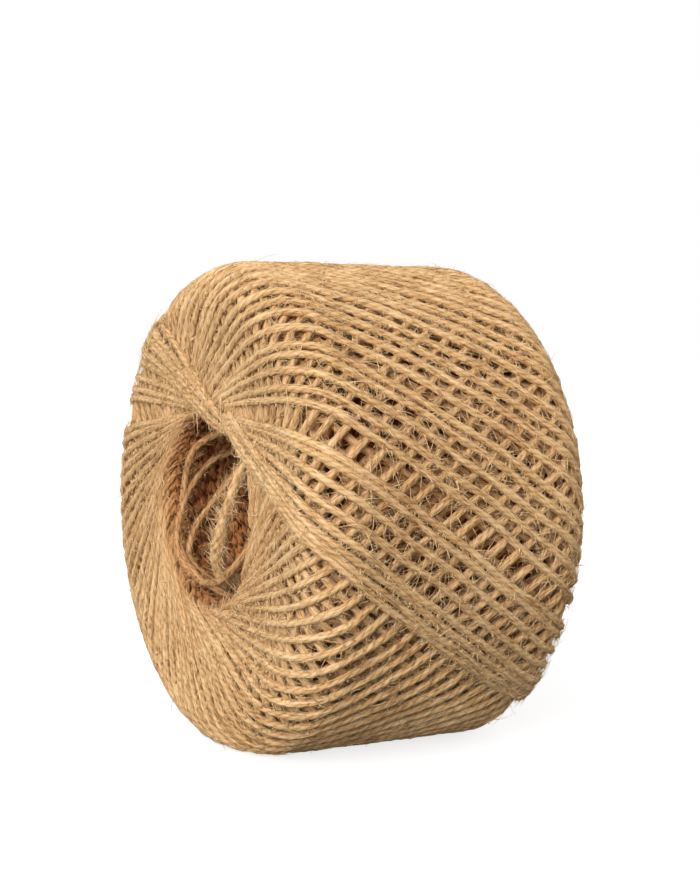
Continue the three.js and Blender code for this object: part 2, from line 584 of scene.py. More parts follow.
@dataclass(frozen=True)
class Route:
    """A line through space, with the way out of the form, depth and girth at each point."""

    points: np.ndarray
    outward: np.ndarray
    depth: np.ndarray
    girth: np.ndarray

    @property
    def lengths(self) -> np.ndarray:
        """Distance along the line at each point."""
        steps = np.linalg.norm(np.diff(self.points, axis=0), axis=1)
        return np.concatenate([[0.0], np.cumsum(steps)])

    def spaced(self, step: float) -> "Route":
        """Give the same line with its points an even step apart.

        Args:
            step: Distance from point to point, nearly.

        Returns:
            The new route.
        """
        lengths = self.lengths
        count = max(int(round(lengths[-1] / step)), 2)
        at = np.linspace(0.0, lengths[-1], count + 1)
        points = resampled(at, lengths, self.points)
        outward = unit(resampled(at, lengths, self.outward))
        depth = np.interp(at, lengths, self.depth)
        return Route(points, outward, depth, np.interp(at, lengths, self.girth))

    def part(self, start: int, end: int) -> "Route":
        """Give a stretch of the line, both end points included."""
        cut = slice(start, end + 1)
        return Route(self.points[cut], self.outward[cut], self.depth[cut], self.girth[cut])


@dataclass(frozen=True)
class Twine:
    """Plied twine: its mesh is a tube whose edges follow the plies."""

    diameter: float = 0.00162
    plies: int = 3
    sides_per_ply: int = 2
    pitch: float = 0.0060
    groove_share: float = 0.90
    slub_share: float = 0.09
    slub_waves: tuple[float, ...] = (0.004, 0.009, 0.023, 0.051)
    reach_range: tuple[float, float] = (0.95, 1.05)

    @property
    def sides(self) -> int:
        """Number of edges round the tube."""
        return self.plies * self.sides_per_ply

    @property
    def step(self) -> float:
        """Length in which the plies turn by one edge."""
        return self.pitch / self.sides

    def outline(self) -> np.ndarray:
        """Give the distance of each edge from the centreline, as a share of the radius."""
        lobe = np.ones(self.sides_per_ply)
        lobe[0] = self.groove_share
        return np.tile(lobe, self.plies)

    def rings(self, route: Route, seed: int) -> tuple[np.ndarray, np.ndarray]:
        """Place the tube's rings on an evenly spaced route.

        Args:
            route: The centreline.
            seed: Start of the random draws.

        Returns:
            The points as rings by sides by 3, and the distance along at each ring.
        """
        draw = np.random.default_rng(seed)
        lengths = route.lengths
        along = unit(np.gradient(route.points, axis=0))
        out = unit(route.outward - along * (route.outward * along).sum(1, keepdims=True))
        side = np.cross(along, out)
        slub = np.zeros_like(lengths)
        for wave in self.slub_waves:
            slub += np.sin(TURN * lengths / wave + draw.uniform(0, TURN))
        size = self.diameter / 2 * route.girth * (1 + self.slub_share * slub / 2)
        turn = -TURN * lengths / self.pitch
        angle = turn[:, None] + TURN * np.arange(self.sides) / self.sides
        reach = size[:, None] * self.outline() * draw.uniform(*self.reach_range, angle.shape)
        points = route.points[:, None] + reach[..., None] * (
            np.cos(angle)[..., None] * out[:, None] + np.sin(angle)[..., None] * side[:, None]
        )
        return points, lengths

    def piece(
        self, name: str, routes: list[Route], seed: int, finish: bpy.types.Material
    ) -> bpy.types.Object:
        """Make one joined piece of a closed tube along each route.

        Args:
            name: Name of the piece.
            routes: Evenly spaced centrelines.
            seed: Start of the random draws.
            finish: The material.

        Returns:
            The new object, with a UV map and a depth attribute, by which the finish paints shade.
        """
        parts = TubeParts(self.sides)
        for number, route in enumerate(routes):
            points, lengths = self.rings(route, seed + number)
            parts.add(points, lengths, route.depth)
        return dressed(parts.built(name), finish)


class TubeParts:
    """Collects closed tubes and joins them in one mesh."""

    def __init__(self, sides: int) -> None:
        """Start with no tubes of that many sides."""
        self.sides = sides
        self.points: list[np.ndarray] = []
        self.quads: list[np.ndarray] = []
        self.caps: list[np.ndarray] = []
        self.quad_uv: list[np.ndarray] = []
        self.depth: list[np.ndarray] = []
        self.count = 0

    def add(self, points: np.ndarray, lengths: np.ndarray, depth: np.ndarray) -> None:
        """Add one tube.

        Args:
            points: Rings by sides by 3.
            lengths: Distance along at each ring.
            depth: Depth below the outermost turns at each ring, with any painted shade added.
        """
        rings, sides = points.shape[:2]
        number = np.arange(rings * sides).reshape(rings, sides) + self.count
        onward = np.roll(number, -1, axis=1)
        quads = np.stack([number[:-1], onward[:-1], onward[1:], number[1:]], -1)
        self.quads.append(quads.reshape(-1, 4))
        self.caps.append(np.stack([number[0][::-1], number[-1]]))
        across = np.arange(sides) / sides
        uv = np.zeros((rings - 1, sides, 4, 2))
        uv[..., 0, 0] = uv[..., 3, 0] = across
        uv[..., 1, 0] = uv[..., 2, 0] = across + 1 / sides
        uv[..., 0, 1] = uv[..., 1, 1] = lengths[:-1, None]
        uv[..., 2, 1] = uv[..., 3, 1] = lengths[1:, None]
        self.quad_uv.append(uv.reshape(-1, 2))
        self.points.append(points.reshape(-1, 3))
        self.depth.append(np.repeat(depth, sides))
        self.count += rings * sides

    def built(self, name: str) -> bpy.types.Mesh:
        """Join the tubes in one mesh.

        Args:
            name: Name of the mesh.

        Returns:
            The new mesh, with its UV map and its depth attribute.
        """
        caps = np.concatenate(self.caps)
        uv = np.concatenate(self.quad_uv + [np.zeros((caps.size, 2))])
        mesh = mesh_of(name, np.concatenate(self.points), [np.concatenate(self.quads), caps])
        mesh.polygons.foreach_set("use_smooth", np.ones(len(mesh.polygons), bool))
        layer = mesh.uv_layers.new(name="UVMap")
        layer.data.foreach_set("uv", uv.astype(np.float32).ravel())
        depth = mesh.attributes.new("depth", "FLOAT", "POINT")
        depth.data.foreach_set("value", np.concatenate(self.depth).astype(np.float32))
        mesh.validate()
        return mesh


@dataclass
class WoundCycle:
    """One cycle of turns, each laid a pitch further round than the one before.

    A turn lies one strand deep where a later turn of the cycle crosses it, and comes
    up to the top where it has passed under the last one. It dives under the others
    where it touches the circle about the hole. The last few turns lie over the rest
    there as a bundle. Each row of last_turns_deg holds the angle at which a turn
    touches the circle and how far its middle leans from the law, newest first.
    """

    form: WoundForm
    law: WindingLaw
    twine: Twine
    last_turns_deg: tuple[tuple[float, float], ...]
    turns: int = 70
    layers_above: float = 0.0
    bundle: int = 0
    rise_angle: float = 0.24
    strand_depth: float = 0.0010
    mouth_depth: float = 0.0036
    dive_before: float = 0.0045
    dive_length: float = 0.008
    deepest_after: float = 0.0035
    climb_length: float = 0.0055
    young_angle: float = 0.30
    pile_spread: float = 0.0011
    pile_near: float = 0.022
    pulled_share: float = 0.20
    # Painted shade added to the depth attribute near the mouth of the hole; it moves nothing.
    mouth_shade: float = 0.0042
    mouth_shade_near: float = 0.0065
    bundle_lift: float = 0.0006
    bundle_spread: float = 0.00115
    bundle_near: float = 0.020
    seed: int = 11
    angle_jitter_deg: float = 0.55
    middle_jitter_deg: float = 0.5
    wander: float = 0.00028
    wander_waves: tuple[float, ...] = (0.019, 0.037, 0.061)
    wander_scale: float = 1.7
    bob_share: float = 0.3
    clearance: float = 0.0001
    pieces: list[bpy.types.Object] = field(default_factory=list, init=False)

    def start_angles(self) -> np.ndarray:
        """Give the angle at which each turn touches the left circle, oldest first.

        Returns:
            One angle for each turn, in radians, and a last one where the next would be.
        """
        draw = np.random.default_rng(self.seed)
        known = [angle for angle, _ in self.last_turns_deg]
        left = self.turns - len(known)
        end = known[0] - 360 + 360 / self.turns
        steps = np.linspace(known[-1], end, left + 1)[1:]
        steps = steps + draw.uniform(-1, 1, left) * self.angle_jitter_deg
        newest_first = np.concatenate([known, steps])
        following = newest_first[0] + 360 / self.turns
        return np.radians(np.concatenate([[following], newest_first])[::-1])

    def mouth(self, touch: np.ndarray) -> np.ndarray:
        """Give how deep a turn dives under the others where it touches the circle.

        Args:
            touch: Distance past the touching point, in metres.

        Returns:
            The depth in metres.
        """
        dive = self.mouth_depth * eased((touch + self.dive_before) / self.dive_length)
        extra = self.mouth_depth - self.strand_depth
        past = touch - self.deepest_after
        climb = self.strand_depth + extra * np.exp(-((past / self.climb_length) ** 2))
        return np.where(past > 0, climb, dive)

    def depth(self, passage: Passage, age: np.ndarray) -> np.ndarray:
        """Give the depth of a passage below the outermost turns.

        Args:
            passage: The samples of a passage.
            age: Angle back from the last turn, at each sample.

        Returns:
            The depth in metres, at each sample.
        """
        crossed = 2 * passage.sweep
        cover = 1 - eased((crossed - age) / self.rise_angle)
        touch = np.where(passage.leaving, passage.from_touch, -passage.from_touch)
        pile = self.mouth(touch)
        leave = cover * pile
        arrive = np.maximum(pile, self.strand_depth * cover)
        return self.settled(age) * np.where(passage.leaving, leave, arrive)

    def settled(self, age: np.ndarray) -> np.ndarray:
        """Give how far later turns have pressed a turn in, from 0 for the last one to 1."""
        return np.clip(age / self.young_angle, 0.0, 1.0)

    def swayed(self, table: np.ndarray, draw: np.random.Generator) -> np.ndarray:
        """Let the line wander a little aside and in depth, with slow waves.

        Args:
            table: Columns of X, radius, angle, outward X and radius, depth and girth.
            draw: The random draws.

        Returns:
            The table with its radius and angle changed.
        """
        x, radius, theta, _, out_r, _, _ = table.T
        lengths = np.concatenate([[0.0], np.cumsum(np.hypot(np.diff(x), np.diff(theta) * radius[1:]))])
        sway = np.zeros_like(lengths)
        bob = np.zeros_like(lengths)
        for wave in self.wander_waves:
            sway += np.sin(TURN * lengths / wave + draw.uniform(0, TURN))
            bob += np.sin(TURN * lengths / wave + draw.uniform(0, TURN))
        moved = table.copy()
        moved[:, 2] = theta + self.wander * sway / self.wander_scale / radius
        rise = self.bob_share * self.wander * bob / self.wander_scale * np.abs(out_r)
        moved[:, 1] = radius + rise
        return moved

    def route(self) -> Route:
        """Lay the whole cycle as one line.

        Returns:
            The centreline of the twine, oldest turn first.
        """
        form = self.form
        passage = self.law.passage()
        draw = np.random.default_rng(self.seed + 1)
        starts = self.start_angles()
        last = starts[-2]
        count = len(starts) - 1
        jitter = draw.uniform(-self.middle_jitter_deg, self.middle_jitter_deg, count)
        middles = starts[:-1] + passage.total + np.radians(jitter)
        leans = np.radians([lean for _, lean in self.last_turns_deg])[::-1]
        middles[count - len(leans):] += leans
        near = np.exp(-((passage.from_touch / self.bundle_near) ** 2)) * passage.normal_x
        piled = np.exp(-((passage.from_touch / self.pile_near) ** 2))
        shaded = np.exp(-((passage.from_touch / self.mouth_shade_near) ** 2))
        girth = 1 - self.pulled_share * piled
        share = passage.sweep / passage.total
        columns: list[np.ndarray] = []
        for number in range(count):
            age = last - starts[number]
            to_next = last - starts[number + 1]
            for way in (Way.OUTWARD, Way.BACK):
                outward = way is Way.OUTWARD
                begin = starts[number] if outward else middles[number]
                end = middles[number] if outward else starts[number + 1] + TURN
                theta = begin + passage.sweep + (end - begin - passage.total) * share
                ages = np.full_like(share, age) if outward else age + (to_next - age) * share
                settled = self.settled(ages)
                deep = self.depth(passage, np.maximum(ages, 0.0)) + self.layers_above
                deep = deep + self.pile_spread * draw.uniform(0, 1) * piled * settled
                of_next_turn = ~passage.leaving & (not outward)
                newer = count - 1 - number - of_next_turn
                bundled = (newer >= 0) & (newer < self.bundle)
                raised = eased(passage.from_touch / self.bundle_near) + newer % 2 * near
                deep = deep - self.bundle_lift * np.where(bundled, raised, 0.0)
                aside = np.where(bundled, self.bundle_spread * (newer - 0.5) * near, 0.0)
                inset = deep + self.twine.diameter / 2
                # Painted shade: near the mouth of the hole the depth attribute grows for colour only,
                # after the shape is set, so the turns there are painted darker.
                deep = deep + self.mouth_shade * (shaded * settled)
                x = -way.value * (passage.x - passage.normal_x * inset)
                radius = passage.radius - passage.normal_radius * inset + aside
                out_x = -way.value * passage.normal_x
                out_r = passage.normal_radius
                columns.append(np.stack([x, radius, theta, out_x, out_r, deep, girth], 1)[:-1])
        table = self.swayed(np.concatenate(columns), draw)
        x, radius, theta, out_x, out_r, deep, girth = table.T
        points = np.stack([x, radius * np.cos(theta), radius * np.sin(theta) + form.centre_height], 1)
        outward = np.stack([out_x, out_r * np.cos(theta), out_r * np.sin(theta)], 1)
        points = form.lifted(points, self.twine.diameter / 2 + self.clearance)
        return Route(points, outward, deep, girth)

    def build(self, name: str, splits: int, finish: bpy.types.Material) -> Route:
        """Build and dress the cycle's pieces.

        Args:
            name: Start of the pieces' names.
            splits: Number of pieces that the line is cut into.
            finish: The material.

        Returns:
            The evenly spaced centreline.
        """
        route = self.route().spaced(self.twine.step)
        cuts = np.linspace(0, len(route.points) - 1, splits + 1).astype(int)
        for number in range(splits):
            part = route.part(cuts[number], cuts[number + 1])
            piece = self.twine.piece(f"{name}_{number + 1}", [part], self.seed + number, finish)
            self.pieces.append(piece)
        return route


@dataclass
class BoreLining:
    """The inner wall of the hole: stretches of the deeper turns that run along it."""

    form: WoundForm
    twine: Twine
    cycles_a_side: int = 13
    cycle_step: float = 0.0020
    first_depth: float = 0.0044
    arcs_a_cycle: int = 24
    half_angle: float = 0.62
    samples: int = 13
    angle_jitter: float = 0.08
    length_range: tuple[float, float] = (0.75, 1.25)
    radius_range: tuple[float, float] = (-0.0002, 0.0004)
    end_sink: float = 0.0012
    end_sharpness: int = 6
    most_slope: float = 0.0014
    depth_jitter: float = 0.0012
    painted_shade_depth: float = 0.0052
    step_share: float = 2.0
    seed: int = 31
    piece: bpy.types.Object | None = field(default=None, init=False)

    def routes(self) -> list[Route]:
        """Lay the arcs of every cycle on both sides.

        Returns:
            Their centrelines.
        """
        draw = np.random.default_rng(self.seed)
        found: list[Route] = []
        share = np.linspace(-1.0, 1.0, self.samples)
        base = self.form.bore_radius + self.twine.diameter / 2
        for side in (-1, 1):
            for cycle in range(self.cycles_a_side):
                depth = self.first_depth + cycle * self.cycle_step
                start = draw.uniform(0, TURN)
                for arc in range(self.arcs_a_cycle):
                    jitter = draw.uniform(-self.angle_jitter, self.angle_jitter)
                    angle = start + TURN * arc / self.arcs_a_cycle + jitter
                    theta = angle + self.half_angle * share * draw.uniform(*self.length_range)
                    sunk = self.end_sink * share**self.end_sharpness
                    radius = base + draw.uniform(*self.radius_range) + sunk
                    slope = draw.uniform(-self.most_slope, self.most_slope)
                    inward = depth + slope * share + draw.uniform(-self.depth_jitter, self.depth_jitter)
                    x = side * (self.form.half_width - inward)
                    z = radius * np.sin(theta) + self.form.centre_height
                    points = np.stack([x, radius * np.cos(theta), z], 1)
                    outward = -np.stack([0 * theta, np.cos(theta), np.sin(theta)], 1)
                    # Painted shade: every point of the lining gets the same depth attribute, so the finish
                    # paints it darker and warmer.
                    shown = np.full_like(x, self.painted_shade_depth)
                    found.append(Route(points, outward, shown, np.ones_like(x)))
        return found

    def build(self, name: str, finish: bpy.types.Material) -> list[Route]:
        """Build and dress the lining as one piece.

        Args:
            name: Name of the piece.
            finish: The material.

        Returns:
            The centrelines.
        """
        routes = [route.spaced(self.step_share * self.twine.step) for route in self.routes()]
        self.piece = self.twine.piece(name, routes, self.seed, finish)
        return routes


@dataclass
class PackedCore:
    """The packed inside that closes the view between the turns, coloured dark as painted shade."""

    form: WoundForm
    depth: float = 0.0058
    bore_gap: float = 0.0011
    end_gap: float = 0.001
    steps: int = 96
    corner_steps: int = 6
    merge_distance: float = 1e-6

    def section(self) -> list[tuple[float, float]]:
        """Give the closed section as points of distance along X and from the axis."""
        form = self.form
        end = form.half_width - self.depth - self.end_gap
        top = form.ball_radius - self.depth
        bottom = form.bore_radius + self.bore_gap
        corner = form.shoulder_radius
        points = []
        for step in range(self.corner_steps + 1):
            angle = math.pi / 2 * step / self.corner_steps
            points.append((end - corner * (1 - math.sin(angle)), top - corner * (1 - math.cos(angle))))
        points.append((end, bottom))
        return [(-x, r) for x, r in points] + [(x, r) for x, r in reversed(points)]

    def build(self, name: str, finish: bpy.types.Material) -> bpy.types.Object:
        """Spin the section round the axis.

        Args:
            name: Name of the piece.
            finish: The material.

        Returns:
            The new object.
        """
        shape = bmesh.new()
        centre = Vector((0, 0, self.form.centre_height))
        corners = [shape.verts.new(centre + Vector((x, 0, r))) for x, r in self.section()]
        ends = zip(corners, corners[1:] + corners[:1])
        edges = [shape.edges.new(pair) for pair in ends]
        bmesh.ops.spin(
            shape, geom=corners + edges, cent=centre, axis=(1, 0, 0), dvec=(0, 0, 0),
            angle=TURN, steps=self.steps, use_merge=True, use_normal_flip=False, use_duplicate=False,
        )
        bmesh.ops.remove_doubles(shape, verts=shape.verts, dist=self.merge_distance)
        bmesh.ops.recalc_face_normals(shape, faces=shape.faces)
        mesh = bpy.data.meshes.new(name)
        shape.to_mesh(mesh)
        shape.free()
        return dressed(mesh, finish)


@dataclass
class Fuzz:
    """Fine fibres that stand out of the twine and lie across the gaps.

    Each is a thin closed cone round a bent line of a few parts. The ranges are those
    of even random draws, one draw for each fibre.
    """

    hairs: int
    seed: int
    thickness: float = 0.00012
    shortest: float = 0.0010
    longest: float = 0.0040
    length_shape: tuple[float, float] = (1.3, 3.0)
    rise: float = 0.22
    rare_at: float = 0.0014
    root_share: float = 0.44
    lean_range: tuple[float, float] = (0.3, 1.6)
    along_range: tuple[float, float] = (-1.2, 1.2)
    aside_range: tuple[float, float] = (0.1, 1.2)
    out_range: tuple[float, float] = (-0.2, 1.0)
    bend_range: tuple[float, float] = (0.2, 1.5)
    width_range: tuple[float, float] = (0.6, 1.4)
    held_down: float = 0.85
    droop: float = 0.35
    tip_share: float = 0.55
    sides: int = 3
    parts: int = 3

    def build(
        self, name: str, routes: list[Route], twine: Twine, finish: bpy.types.Material
    ) -> bpy.types.Object:
        """Grow the fibres on centrelines and join them in one piece.

        Args:
            name: Name of the piece.
            routes: Evenly spaced centrelines that they grow on.
            twine: The twine, for its thickness.
            finish: The material.

        Returns:
            The new object.
        """
        draw = np.random.default_rng(self.seed)
        each = (self.hairs, 1)
        points = np.concatenate([route.points for route in routes])
        heading = np.concatenate([unit(np.gradient(route.points, axis=0)) for route in routes])
        depth = np.concatenate([route.depth for route in routes])
        shown = np.exp(-(depth - depth.min()) / self.rare_at)
        pick = draw.choice(len(points), self.hairs, p=shown / shown.sum())
        along = heading[pick]
        out = np.concatenate([route.outward for route in routes])[pick]
        side = np.cross(along, out)
        lean = draw.choice([-1.0, 1.0], each) * draw.uniform(*self.lean_range, each)
        away = np.cos(lean) * out + np.sin(lean) * side
        root = points[pick] + away * twine.diameter * self.root_share
        start = unit(
            along * draw.uniform(*self.along_range, each)
            + side * np.sign(lean) * draw.uniform(*self.aside_range, each)
            + out * draw.uniform(*self.out_range, each) * self.rise
        )
        bend = unit(draw.normal(0, 1, (self.hairs, 3))) * draw.uniform(*self.bend_range, each)
        rising = np.maximum((bend * out).sum(1, keepdims=True), 0.0)
        bend = bend - (self.held_down * rising + self.droop) * out
        length = self.shortest + (self.longest - self.shortest) * draw.beta(*self.length_shape, each)
        share = np.arange(self.parts + 1) / self.parts
        line = root[:, None] + length[:, None] * (
            start[:, None] * share[None, :, None] + bend[:, None] * (share**2)[None, :, None] / 2
        )
        line[..., 2] = np.maximum(line[..., 2], self.thickness)
        points = self.cones(line, draw)
        table = np.array(self.cone_faces())[None] + (np.arange(self.hairs) * len(points[0]))[:, None, None]
        mesh = mesh_of(name, points.reshape(-1, 3), [table.reshape(-1, 3)])
        mesh.validate()
        return dressed(mesh, finish)

    def cones(self, line: np.ndarray, draw: np.random.Generator) -> np.ndarray:
        """Put a thin cone round each line.

        Args:
            line: Hairs by points by 3.
            draw: The random draws.

        Returns:
            Hairs by the points of a cone by 3, ring after ring, with the tip last.
        """
        way = unit(np.gradient(line, axis=1))
        across = unit(np.cross(way, unit(draw.normal(0, 1, (self.hairs, 1, 3)))))
        third = np.cross(way, across)
        taper = np.linspace(1.0, self.tip_share, self.parts)
        width = self.thickness / 2 * draw.uniform(*self.width_range, (self.hairs, 1)) * taper
        angle = TURN * np.arange(self.sides) / self.sides
        ring = (
            np.cos(angle)[None, None, :, None] * across[:, :self.parts, None]
            + np.sin(angle)[None, None, :, None] * third[:, :self.parts, None]
        )
        body = line[:, :self.parts, None] + width[:, :, None, None] * ring
        return np.concatenate([body.reshape(self.hairs, -1, 3), line[:, -1:]], axis=1)

    def cone_faces(self) -> list[tuple[int, int, int]]:
        """List the triangles of one cone: its rings, its tip and its root."""
        faces = []
        top = (self.parts - 1) * self.sides
        for low in range(0, top, self.sides):
            for i in range(self.sides):
                a = low + i
                b = low + (i + 1) % self.sides
                faces.append((a, b, b + self.sides))
                faces.append((a, b + self.sides, a + self.sides))
        tip = top + self.sides
        for i in range(self.sides):
            faces.append((top + i, top + (i + 1) % self.sides, tip))
        faces.append(tuple(range(self.sides))[::-1])
        return faces


@dataclass
class LoosenedTurns:
    """Turns of the innermost coil that have slipped into loops in the mouth of the hole.

    Each route is a short list of points in millimetres from the middle of the ball,
    and both of its ends run into the wall of the hole.
    """

    form: WoundForm
    twine: Twine
    seed: int = 53
    painted_shade_depth: float = 0.0035
    rough_points: int = 200
    facing_out: float = -0.004
    piece: bpy.types.Object | None = field(default=None, init=False)
    routes_mm: tuple[tuple[Place, ...], ...] = (
        (
            (-17.0, -3.0, 18.0), (-21.0, 3.0, 15.6), (-24.8, 7.9, 13.4), (-26.4, 11.0, 11.0),
            (-26.6, 14.0, 6.6), (-26.8, 15.2, 2.0), (-27.6, 15.0, -2.8), (-28.6, 13.4, -7.4),
            (-28.6, 11.8, -9.8), (-28.0, 8.2, -12.6), (-28.2, 3.6, -14.2), (-28.6, -1.6, -13.9),
            (-29.0, -7.0, -12.6), (-28.8, -11.6, -9.9), (-27.4, -14.6, -6.0), (-24.0, -16.4, -1.0),
            (-19.0, -18.2, 3.0),
        ),
        (
            (-12.0, 5.0, 17.6), (-15.5, 8.8, 13.6), (-18.4, 11.6, 10.2), (-21.0, 12.4, 9.2),
            (-23.4, 14.0, 6.4), (-25.6, 15.0, 3.0), (-27.2, 15.2, -0.9), (-28.7, 14.0, -5.8),
            (-29.4, 11.8, -9.8), (-28.2, 8.6, -12.9), (-25.4, 5.4, -15.6), (-21.0, 3.0, -18.2),
        ),
        (
            (-11.0, 14.4, 12.2), (-15.0, 14.9, 6.6), (-18.2, 15.1, 2.8), (-20.8, 15.2, -0.4),
            (-23.9, 14.8, -3.9), (-25.9, 13.6, -6.9), (-27.4, 11.2, -10.4), (-25.6, 7.6, -13.7),
            (-21.5, 6.0, -17.0),
        ),
    )

    def build(self, name: str, finish: bpy.types.Material) -> list[Route]:
        """Build and dress the loops as one piece.

        Args:
            name: Name of the piece.
            finish: The material.

        Returns:
            The centrelines.
        """
        routes = []
        for fixed_mm in self.routes_mm:
            fixed = self.form.placed(fixed_mm)
            rough = smooth_line(fixed, self.rough_points)
            length = np.linalg.norm(np.diff(rough, axis=0), axis=1).sum()
            line = smooth_line(fixed, int(length / self.twine.step))
            middle = np.array([line[:, 0].mean(), 0.0, self.form.centre_height])
            inward = middle - line
            inward[:, 0] = self.facing_out
            ones = np.ones(len(line))
            # Painted shade: the loops get a set depth attribute, so the finish paints them darker.
            routes.append(Route(line, unit(inward), self.painted_shade_depth * ones, ones))
        self.piece = self.twine.piece(name, routes, self.seed, finish)
        return routes


@dataclass
class InnerEnd:
    """The loose frayed end that leans across the mouth of the hole."""

    form: WoundForm
    diameter: float = 0.0025
    swell: float = 0.45
    length: float = 0.051
    pitch: float = 0.008
    rings: int = 72
    facing: Place = (-1.0, -0.3, 0.0)
    seed: int = 71
    route_mm: tuple[Place, ...] = (
        (-12.5, -8.2, 13.4),
        (-18.0, -9.0, 12.9),
        (-23.2, -9.8, 11.2),
        (-26.6, -9.6, 7.2),
        (-28.0, -8.0, 1.6),
        (-28.2, -5.2, -3.8),
        (-27.2, -1.6, -8.8),
        (-24.6, 2.0, -12.6),
        (-20.4, 4.4, -14.7),
        (-15.6, 5.2, -15.0),
    )

    @property
    def twine(self) -> Twine:
        """The end's own twine, thicker and looser than the wound one."""
        return Twine(self.diameter, sides_per_ply=4, pitch=self.pitch, groove_share=0.88, slub_share=0.10)

    def route(self) -> Route:
        """Run a smooth line through the route's points, thicker towards the frayed tip.

        Returns:
            The evenly spaced centreline.
        """
        line = smooth_line(self.form.placed(self.route_mm), self.rings)
        outward = np.tile(np.array(self.facing), (self.rings, 1))
        girth = 1 + self.swell * np.linspace(-1, 1, self.rings)
        return Route(line, unit(outward), np.zeros(self.rings), girth)

    def build(self, name: str, finish: bpy.types.Material) -> bpy.types.Object:
        """Build and dress the end as one piece."""
        return self.twine.piece(name, [self.route()], self.seed, finish)


def between(at: np.ndarray, start: float, end: float, first: np.ndarray, last: np.ndarray) -> np.ndarray:
    """Run straight from one value at the start to another at the end."""
    return ((end - at) * first + (at - start) * last) / (end - start)


def smooth_line(fixed: np.ndarray, count: int, samples: int = 24) -> np.ndarray:
    """Run a centripetal Catmull-Rom line through points and space it evenly.

    Args:
        fixed: The points that it goes through.
        count: Number of points wanted.
        samples: Points worked out between each two of the fixed ones.

    Returns:
        The evenly spaced points.
    """
    ends = np.vstack([2 * fixed[0] - fixed[1], fixed, 2 * fixed[-1] - fixed[-2]])
    found = []
    for first, second, third, fourth in zip(ends, ends[1:], ends[2:], ends[3:]):
        knots = [0.0]
        for a, b in ((first, second), (second, third), (third, fourth)):
            knots.append(knots[-1] + max(np.linalg.norm(b - a), TINY) ** 0.5)
        t = np.linspace(knots[1], knots[2], samples, endpoint=False)[:, None]
        low = between(t, knots[0], knots[1], first, second)
        mid = between(t, knots[1], knots[2], second, third)
        high = between(t, knots[2], knots[3], third, fourth)
        low = between(t, knots[0], knots[2], low, mid)
        high = between(t, knots[1], knots[3], mid, high)
        found.append(between(t, knots[1], knots[2], low, high))
    line = np.vstack(found + [fixed[-1:]])
    lengths = np.concatenate([[0.0], np.cumsum(np.linalg.norm(np.diff(line, axis=0), axis=1))])
    return resampled(np.linspace(0, lengths[-1], count), lengths, line)


def seen_apart(tree: bpy.types.NodeTree, unseen: bpy.types.Node, seen: bpy.types.Node) -> object:
    """Mix two shaders, so that the camera sees one and all other light meets the other.

    Args:
        tree: The node tree of both.
        unseen: The shader for all other light.
        seen: The shader that the camera sees.

    Returns:
        The mixed shader's output.
    """
    path = tree.nodes.new("ShaderNodeLightPath")
    either = tree.nodes.new("ShaderNodeMixShader")
    tree.links.new(path.outputs["Is Camera Ray"], either.inputs[0])
    tree.links.new(unseen.outputs[0], either.inputs[1])
    tree.links.new(seen.outputs[0], either.inputs[2])
    return either.outputs[0]


